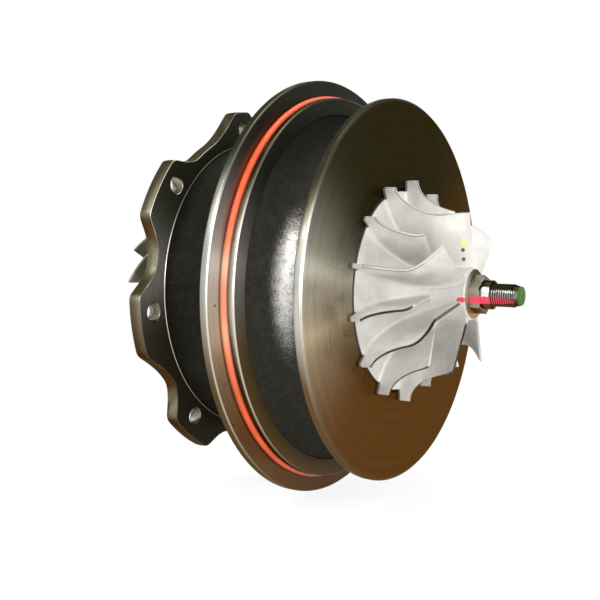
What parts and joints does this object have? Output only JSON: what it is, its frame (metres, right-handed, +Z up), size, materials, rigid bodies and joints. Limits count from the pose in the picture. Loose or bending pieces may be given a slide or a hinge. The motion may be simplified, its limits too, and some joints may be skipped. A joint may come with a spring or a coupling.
{
  "type": "turbocharger cartridge",
  "caption": "Turbocharger cartridge: a bladed compressor and turbine rotor on floating bearings in a flanged housing, closed by a bell-shaped backplate with a sealing ring.",
  "frame": {"origin": "on the shaft axis, in the face of the large flange that the compressor cover sits against", "axes": "+X runs along the shaft towards the compressor nut, +Z is up, with the oil inlet on top and the oil drain below"},
  "size_m": [0.2474, 0.2434, 0.2434],
  "materials": {
    "housing_casting": "satin black paint over the casting, with machined flange faces",
    "backplate_casting": "fine-turned face, with the bell painted satin black",
    "cover_seal": "smooth orange-red rubber",
    "inner_seal": "black rubber",
    "seal_plate_iron": "turned",
    "spring_steel": "dark oiled steel",
    "shield_steel": "pressed sheet",
    "bearing_bronze": "turned bronze",
    "rotor_steel": "ground steel, green paint on the stud's end",
    "nut_steel": "bright machined steel with a red paint mark",
    "turbine_alloy": "cast nickel alloy",
    "compressor_aluminium": "fine satin casting"
  },
  "bodies": {
    "housing": {"bearing_housing": "housing_casting", "compressor_backplate": "backplate_casting", "cover_o_ring": "cover_seal", "backplate_o_ring": "inner_seal", "backplate_screw_1": "spring_steel", "backplate_screw_2": "spring_steel", "backplate_screw_3": "spring_steel", "backplate_screw_4": "spring_steel", "backplate_screw_5": "spring_steel", "backplate_screw_6": "spring_steel", "seal_plate": "seal_plate_iron", "seal_plate_o_ring": "inner_seal", "seal_plate_circlip": "spring_steel", "compressor_bearing_circlip": "spring_steel", "turbine_bearing_circlip": "spring_steel", "thrust_bearing": "bearing_bronze", "oil_baffle": "shield_steel", "thrust_screw_1": "spring_steel", "thrust_screw_2": "spring_steel", "thrust_screw_3": "spring_steel", "compressor_piston_ring": "spring_steel", "turbine_piston_ring_1": "spring_steel", "turbine_piston_ring_2": "spring_steel", "heat_shield": "shield_steel"},
    "rotor": {"rotor_shaft": "rotor_steel", "thrust_collar": "rotor_steel", "oil_flinger": "rotor_steel", "compressor_nut": "nut_steel", "turbine_wheel": "turbine_alloy", "compressor_wheel": "compressor_aluminium"},
    "compressor_bearing": {"compressor_journal_bearing": "bearing_bronze"},
    "turbine_bearing": {"turbine_journal_bearing": "bearing_bronze"}
  },
  "joints": [
    {"name": "rotor_spin", "type": "hinge", "parent": "housing", "child": "rotor", "pos_m": [0, 0, 0], "axis": [1, 0, 0], "continuous": true},
    {"name": "compressor_bearing_spin", "type": "hinge", "parent": "housing", "child": "compressor_bearing", "pos_m": [-0.009, 0, 0], "axis": [1, 0, 0], "continuous": true},
    {"name": "turbine_bearing_spin", "type": "hinge", "parent": "housing", "child": "turbine_bearing", "pos_m": [-0.043, 0, 0], "axis": [1, 0, 0], "continuous": true}
  ]
}
